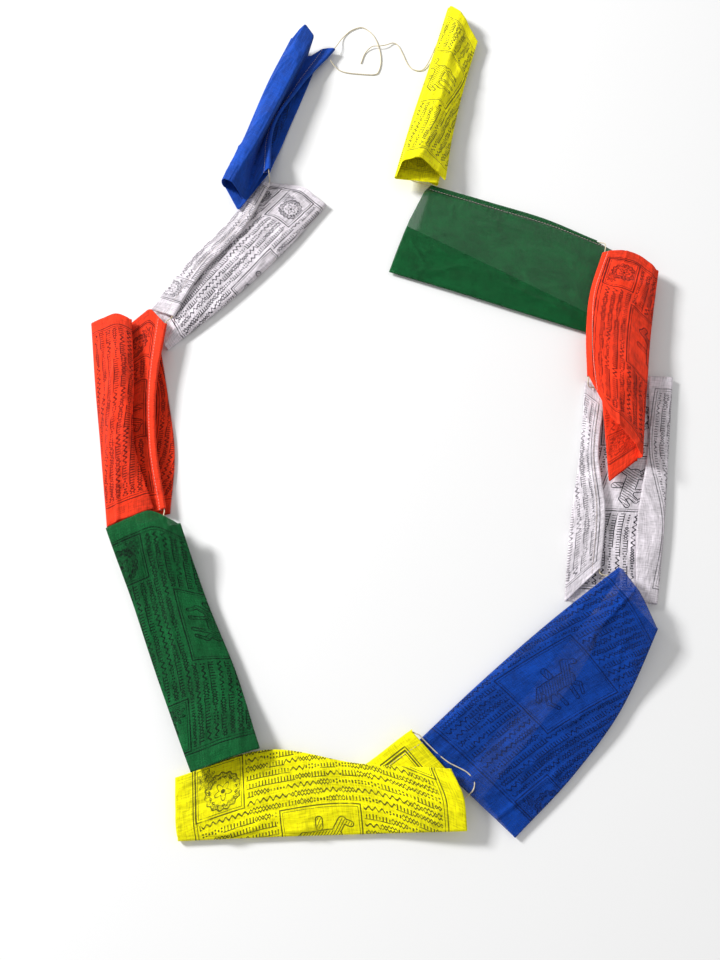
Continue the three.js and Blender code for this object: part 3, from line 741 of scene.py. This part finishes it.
def line(distance, place, width):
    # One where the distance is within half the width of the place.
    return abs(distance - place) < width / 2


# print: rows of small ornaments, each run of five cells of one kind. A row starts slide cells after the last;
# half is half the height of the smallest mark and grow what chance adds; kinds are the shares of chance up to
# which a run has lozenges, dots and waves, and past them it has ticks.
rowsOfPrint = {"pitch": 7.0, "cell": 2.7, "run": 5, "stagger": 3, "slide": 0.37, "line": 1.05,
               "half": 1.3, "grow": 1.3, "kinds": (0.3, 0.42, 0.62), "lozenge": (1.3, 1.3), "bar": (2.2, 0.8),
               "dots": (1.6, 0.62), "wave": (0.7, 1.6)}


def ornamentRows(graph, u, v):
    # A cell holds a lozenge, two dots, a piece of wave or a tick over a line. With p and q from its middle,
    # the lozenge is the line |p| * slant + |q| = tall, the dots are p * p + (|q| - size * spread) squared < dot,
    # the wave is q = sine * tall * swing, the tick |p| < half a line. Size is the cell's chance, kind the run's.
    pitch, cell, width = rowsOfPrint["pitch"], rowsOfPrint["cell"], rowsOfPrint["line"]
    (slant, outline), (barPlace, bar) = rowsOfPrint["lozenge"], rowsOfPrint["bar"]
    (spread, dot), (swing, stroke) = rowsOfPrint["dots"], rowsOfPrint["wave"]
    lozenges, pairs, waves = rowsOfPrint["kinds"]
    row = (v / pitch).floor()
    column = (u / cell + row * rowsOfPrint["slide"]).floor()
    q = v - row * pitch - pitch / 2
    p = u - (column - row * rowsOfPrint["slide"]) * cell - cell / 2
    kind = graph.chance(((column + row * rowsOfPrint["stagger"]) / rowsOfPrint["run"]).floor(), row)
    size = graph.chance(column, row)
    tall = size * rowsOfPrint["grow"] + rowsOfPrint["half"]
    lozenge = line(abs(p) * slant + abs(q), tall, width * outline)
    tick = ((abs(p) < width / 2) & (abs(q) < tall)) | line(q, barPlace, width * bar)
    dots = (p * p + (abs(q) - size * spread) * (abs(q) - size * spread)) < dot
    wave = line(q - (u * (math.pi / cell)).sine() * tall * swing, 0.0, width * stroke)
    return ((lozenge & (kind < lozenges)) | (tick & (kind > waves))
            | (dots & ((kind > lozenges) & (kind < pairs))) | (wave & ((kind > pairs) & (kind < waves))))


# a wreath in its panel: places and radii are shares of half the panel's shorter side, widths are millimetres
wreathShape = {"shift": 0.14, "ring": 0.64, "width": 5.0, "scallops": 15, "scallop": 0.7,
               "edges": (2, 1.1, 1.0), "veins": (0.9, 0.5, 0.16), "petals": 5, "flower": 0.27, "petal": 0.1,
               "line": 1.0, "heart": 0.09, "tuft": 0.68, "leaves": 9, "leaf": 0.1, "leafEnd": 0.34,
               "leafLine": (0.32, 0.9)}


def wreath(graph, u, v, box):
    # A ring filled with leaf veins and scalloped at both edges, a flower in it, and a tuft of leaves at the
    # panel's corner. An edge is where the distance from its middle, less a sine of the angle, is its radius.
    u0, u1, v0, v1 = box
    shape = wreathShape
    reach = min(u1 - u0, v1 - v0) / 2
    shift, radius = reach * shape["shift"], reach * shape["ring"]
    x, y = u - (u0 + u1) / 2 - shift, v - (v0 + v1) / 2 - shift
    away = (x * x + y * y).maths("SQRT")
    angle = y.maths("ARCTAN2", x)
    scallop = (angle * shape["scallops"]).sine() * shape["scallop"]
    scale, vein, veinWidth = shape["veins"]
    veins = line(graph.noise(x, y, scale, 1.0), vein, veinWidth)
    inset, outer, inner = shape["edges"]
    edges = line(away - scallop, radius + inset, outer) | line(away + scallop, radius - inset, inner)
    ring = line(away - scallop, radius, shape["width"]) & (veins | edges)
    petal = (angle * shape["petals"]).sine() * reach * shape["petal"]
    flower = line(away - petal, reach * shape["flower"], shape["line"]) | (away < reach * shape["heart"])
    left, top = x + reach * shape["tuft"], y + reach * shape["tuft"]
    leaf = (top.maths("ARCTAN2", left) * shape["leaves"]).sine() * reach * shape["leaf"]
    spread = (left * left + top * top).maths("SQRT") - leaf
    leafLine, leafWidth = shape["leafLine"]
    tuft = (spread < reach * shape["leafEnd"]) & (veins | line(spread, reach * leafLine, leafWidth))
    return ring | flower | tuft


# a horse from rods: start, end and radius in millimetres from the panel's middle, y down
horse = {"rods": [((-11, 0), (10, 0), 6.2), ((10, -2), (17, -13), 3.4), ((17, -13), (24, -10), 2.4),
                  ((-13, 3), (-19, 11), 2.2), ((-19, 11), (-15, 19), 1.4), ((-8, 5), (-7, 19), 1.6),
                  ((9, 4), (15, 10), 1.9), ((15, 10), (12, 18), 1.3), ((7, 5), (5, 19), 1.6),
                  ((-16, -4), (-24, 4), 2.2), ((-2, -9), (-2, -15), 2.8)],
         "outline": 1.0, "hatch": {"pitch": 2.6, "slant": 0.6, "place": 0.6, "width": 0.75, "inset": 0.9}}


def horseMark(graph, u, v, box):
    # The outline of the rods joined, and slanting lines inside them. The distance from a rod is that from its
    # nearest place, start + way * (here . way) / (way . way), less its radius.
    place = graph.pair(u - (box[0] + box[1]) / 2, v - (box[2] + box[3]) / 2)
    distance = None
    for start, end, radius in horse["rods"]:
        along = (end[0] - start[0], end[1] - start[1], 0)
        square = along[0] ** 2 + along[1] ** 2
        here = graph.vector("SUBTRACT", [place, (*start, 0)])
        share = graph.vector("DOT_PRODUCT", [here, along], 1).maths("MULTIPLY", 1 / square, clamp=True)
        foot = graph.vector("SCALE", {0: along, 3: share})
        rod = graph.vector("DISTANCE", [here, foot], 1) - radius
        distance = rod if distance is None else distance & rod
    hatch = horse["hatch"]
    hatching = line((u + v * hatch["slant"]) % hatch["pitch"], hatch["place"], hatch["width"])
    return line(distance, 0.0, horse["outline"]) | (hatching & (distance < -hatch["inset"]))


# lines of print round the frame and the panels: how far in they lie and their widths
borders = {"frame": ((0.0, 1.0), (-2.6, 0.6)), "panel": ((0.0, 1.1), (-2.2, 0.5)), "inside": 3, "rowsIn": 4.5,
           "rowsOff": 2.5}

# where each flag's print lies: the frame and the panels are starts and ends along the hem and down from it;
# alpha is the share of light that one face of the cloth stops, below 1 where what lies under it shows
printed = {
    "blue_1": {"alpha": 1.0, "frame": (16, 224, 12, 192), "wreaths": [(18, 60, 14, 56)],
               "horse": (86, 152, 70, 128)},
    "white_1": {"alpha": 0.78, "frame": (7, 220, -3, 192), "horse": (84, 147, 80, 130),
                "wreaths": [(9, 51, 46, 77), (9, 40, 4, 38), (184, 218, 0, 38)]},
    "red_1": {"alpha": 1.0, "frame": (14, 221, 8, 192), "wreaths": [(16, 56, 10, 42)],
              "horse": (84, 152, 12, 50)},
    "green_1": {"alpha": 0.82, "frame": (16, 225, 12, 192), "horse": (76, 147, 76, 130),
                "wreaths": [(18, 58, 150, 190), (178, 223, 140, 190)]},
    "yellow_1": {"alpha": 1.0, "frame": (15, 225, 8, 230), "wreaths": [(17, 58, 53, 97), (186, 223, 10, 62)],
                 "horse": (87, 154, 106, 160)},
    "blue_2": {"alpha": 0.66, "frame": (21, 226, 12, 190), "wreaths": [(23, 62, 140, 182)],
               "horse": (88, 166, 48, 112)},
    "white_2": {"alpha": 0.78, "frame": (14, 226, 6, 212), "wreaths": [(168, 224, 40, 92)],
                "horse": (96, 156, 52, 104)},
    "red_2": {"alpha": 1.0, "frame": (15, 228, 9, 190), "wreaths": [(185, 226, 11, 42), (16, 44, 77, 106)],
              "horse": (88, 168, 43, 100)},
    "green_2": {"alpha": 0.64, "frame": (16, 224, 12, 150), "wreaths": [(18, 60, 14, 56)],
                "horse": (86, 152, 40, 98)},
    "yellow_2": {"alpha": 1.0, "frame": (14, 223, 20, 160), "wreaths": [(16, 44, 46, 76)],
                 "horse": (92, 170, 70, 122)},
}


def printMask(graph, u, v, layout):
    # One where there is ink: the double frame, the panels with their outlines, and the rows round them.
    frameAway = boxDistance(u, v, layout["frame"])
    outer, inner = borders["frame"]
    ink = line(frameAway, *outer) | line(frameAway, *inner)
    rows = frameAway < -borders["rowsIn"]
    outer, inner = borders["panel"]
    for box, mark in [(box, wreath) for box in layout["wreaths"]] + [(layout["horse"], horseMark)]:
        away = boxDistance(u, v, box)
        picture = mark(graph, u, v, box) & (away < -borders["inside"])
        ink = ink | line(away, *outer) | line(away, *inner) | picture
        rows = rows & (away > borders["rowsOff"])
    return ink | (ornamentRows(graph, u, v) & rows)


# dyed cotton: base is the cloth, ink the printed colour, back the strength of the print on the reverse,
# which is plain below weave's plainBelow
dyes = {
    "blue": {"base": (0.003, 0.060, 0.40), "ink": (0.0008, 0.006, 0.05), "strength": 0.9, "back": 0.1},
    "white": {"base": (0.95, 0.89, 0.95), "ink": (0.02, 0.018, 0.035), "strength": 1.0, "back": 0.75},
    "red": {"base": (0.93, 0.045, 0.010), "ink": (0.07, 0.002, 0.002), "strength": 0.95, "back": 0.6},
    "green": {"base": (0.004, 0.116, 0.029), "ink": (0.0005, 0.008, 0.004), "strength": 1.0, "back": 0.1},
    "yellow": {"base": (1.0, 0.93, 0.0), "ink": (0.09, 0.09, 0.01), "strength": 0.95, "back": 0.5},
}
weave = {"pitch": 0.62, "height": 0.25, "bump": 0.5, "unevenness": 0.42, "patch": 0.62, "patchScale": 0.04,
         "thread": (0.9, 0.12), "wrinkle": 4.5, "wrinkleScale": 0.15, "wrinkleStretch": 0.3,
         "wear": {"scale": 0.14, "gain": 2.0, "least": 0.1}, "rough": (0.68, 0.15), "plainBelow": 0.2,
         "specular": 0.15, "sheen": 0.05, "sheenRoughness": 0.5}


def clothMaterial(name, dye, alpha, layout):
    # The colour is base * (1 + (patches - 1/2) * patch + (threads - 1) * unevenness), threads being noises
    # drawn out along the cloth and across it, and print lies over it; without a layout the cloth is plain.
    # The bump is sine(u) * sine(v) for crossed threads, with thin creases along the string.
    graph = Graph(name)
    u, v = graph.clothPlace()
    patches = graph.noise(u, v, weave["patchScale"], 1.0)
    across, along = weave["thread"]
    threads = graph.noise(u * along, v * across, 1.0, 0.0) + graph.noise(u * across, v * along, 1.0, 0.0)
    tone = (patches - 0.5) * weave["patch"] + (threads - 1.0) * weave["unevenness"] + 1.0
    colour = graph.vector("SCALE", {0: dye["base"], 3: tone})
    if layout:
        front = graph.node("Attribute", {"attribute_name": "front"}, [], 2)
        wear = weave["wear"]
        worn = (graph.noise(u, v, wear["scale"], 1.0) * wear["gain"] + wear["least"]).held()
        strength = worn * (front * (1 - dye["back"]) + dye["back"]) * dye["strength"]
        colour = graph.mix(printMask(graph, u, v, layout) * strength, colour, (*dye["ink"], 1))
    turn = 2 * math.pi / weave["pitch"]
    crossed = (u * turn).sine() * (v * turn).sine()
    wrinkles = graph.noise(u * weave["wrinkleStretch"], v, weave["wrinkleScale"], 3.0)
    height = crossed * weave["height"] + wrinkles * weave["wrinkle"]
    bump = graph.node("Bump", {}, {"Strength": weave["bump"], "Distance": mm, "Height": height})
    smoothest, rougher = weave["rough"]
    graph.shade({"Base Color": colour, "Roughness": patches * rougher + smoothest, "Normal": bump,
                 "Specular IOR Level": weave["specular"], "Sheen Weight": weave["sheen"],
                 "Sheen Roughness": weave["sheenRoughness"], "Alpha": alpha})
    return graph.material


def meshValues(items, field, kind):
    # One field of a mesh's items as an array.
    values = np.empty(len(items), dtype=kind)
    items.foreach_get(field, values)
    return values


for name, flag in flags.items():
    mesh, dye, layout = bpy.data.objects["cloth_" + name].data, dyes[flag["dye"]], printed[name]
    reverse = layout if dye["back"] > weave["plainBelow"] else None
    for side, shown in (("front", layout), ("back", reverse)):
        mesh.materials.append(clothMaterial(f"cloth_{name}_{side}", dye, layout["alpha"], shown))
    marks = meshValues(mesh.attributes["front"].data, "value", np.float32)
    starts = meshValues(mesh.polygons, "loop_start", np.int32)
    corners = meshValues(mesh.loops, "vertex_index", np.int32)
    mesh.polygons.foreach_set("material_index", (marks[corners[starts]] < 0.5).astype(np.int32))
print("cloth materials made")

# unbleached thread: light fibres and dark ones, for the twine and for the stitches
thread = {"fibre": 900.0, "patch": 12, "darkest": 0.35, "gain": 1.6, "patchGain": 1.5, "bump": (0.6, 0.0004),
          "rough": (0.9, 0.2), "specular": 0.2,
          "twine": ((0.88, 0.82, 0.66), (0.60, 0.52, 0.36)),
          "stitch_thread": ((0.80, 0.72, 0.66), (0.52, 0.42, 0.38))}


def threadMaterial(name):
    # Dark to light by (streaks - darkest) * gain * patches * patchGain, two noises in the part's coordinates.
    light, dark = thread[name]
    graph = Graph(name)
    place = graph.node("TexCoord", {}, [], 3)
    streaks = graph.node("TexNoise", {}, {"Vector": place, "Scale": thread["fibre"], "Detail": 3.0})
    scale = thread["fibre"] / thread["patch"]
    patches = graph.node("TexNoise", {}, {"Vector": place, "Scale": scale, "Detail": 2.0})
    tone = ((streaks - thread["darkest"]) * thread["gain"] * patches * thread["patchGain"]).held()
    strength, distance = thread["bump"]
    bump = graph.node("Bump", {}, {"Strength": strength, "Distance": distance, "Height": streaks})
    roughest, smoother = thread["rough"]
    graph.shade({"Base Color": graph.mix(tone, (*dark, 1), (*light, 1)),
                 "Roughness": roughest - streaks * smoother, "Normal": bump,
                 "Specular IOR Level": thread["specular"]})
    return graph.material


twineMaterial = threadMaterial("twine")
for name in ("twine_loop", "twine_tail", "twine_run"):
    bpy.data.objects[name].data.materials.append(twineMaterial)
stitches.data.materials.append(threadMaterial("stitch_thread"))
print("thread materials made")

# floor and light
floor = {"size": 6.0, "colour": 0.9}
half = floor["size"] / 2
corners = np.array([[-half, -half, 0], [half, -half, 0], [half, half, 0], [-half, half, 0]])
ground = makeMesh("floor", corners, [np.array([[0, 1, 2, 3]])])
paper = bpy.data.materials.new("floor")
paper.use_nodes = True
grey = floor["colour"]
paper.node_tree.nodes["Principled BSDF"].inputs["Base Color"].default_value = (grey, grey, grey, 1)
ground.data.materials.append(paper)
studio = {"sky": 0.5, "key": 178.0, "keyPlace": (-2.79, 1.53, 1.89), "keySize": 0.72}
world = bpy.data.worlds.new("studio")
world.use_nodes = True
world.node_tree.nodes["Background"].inputs["Color"].default_value = (1, 1, 1, 1)
world.node_tree.nodes["Background"].inputs["Strength"].default_value = studio["sky"]
bpy.context.scene.world = world
lamp = bpy.data.lights.new("key", "AREA")
lamp.energy = studio["key"]
lamp.size = studio["keySize"]
key = bpy.data.objects.new("key", lamp)
key.location = studio["keyPlace"]
key.rotation_euler = (-key.location).to_track_quat("-Z", "Y").to_euler()
bpy.context.scene.collection.objects.link(key)
bpy.context.scene.view_settings.view_transform = "Standard"
print("floor and light set")
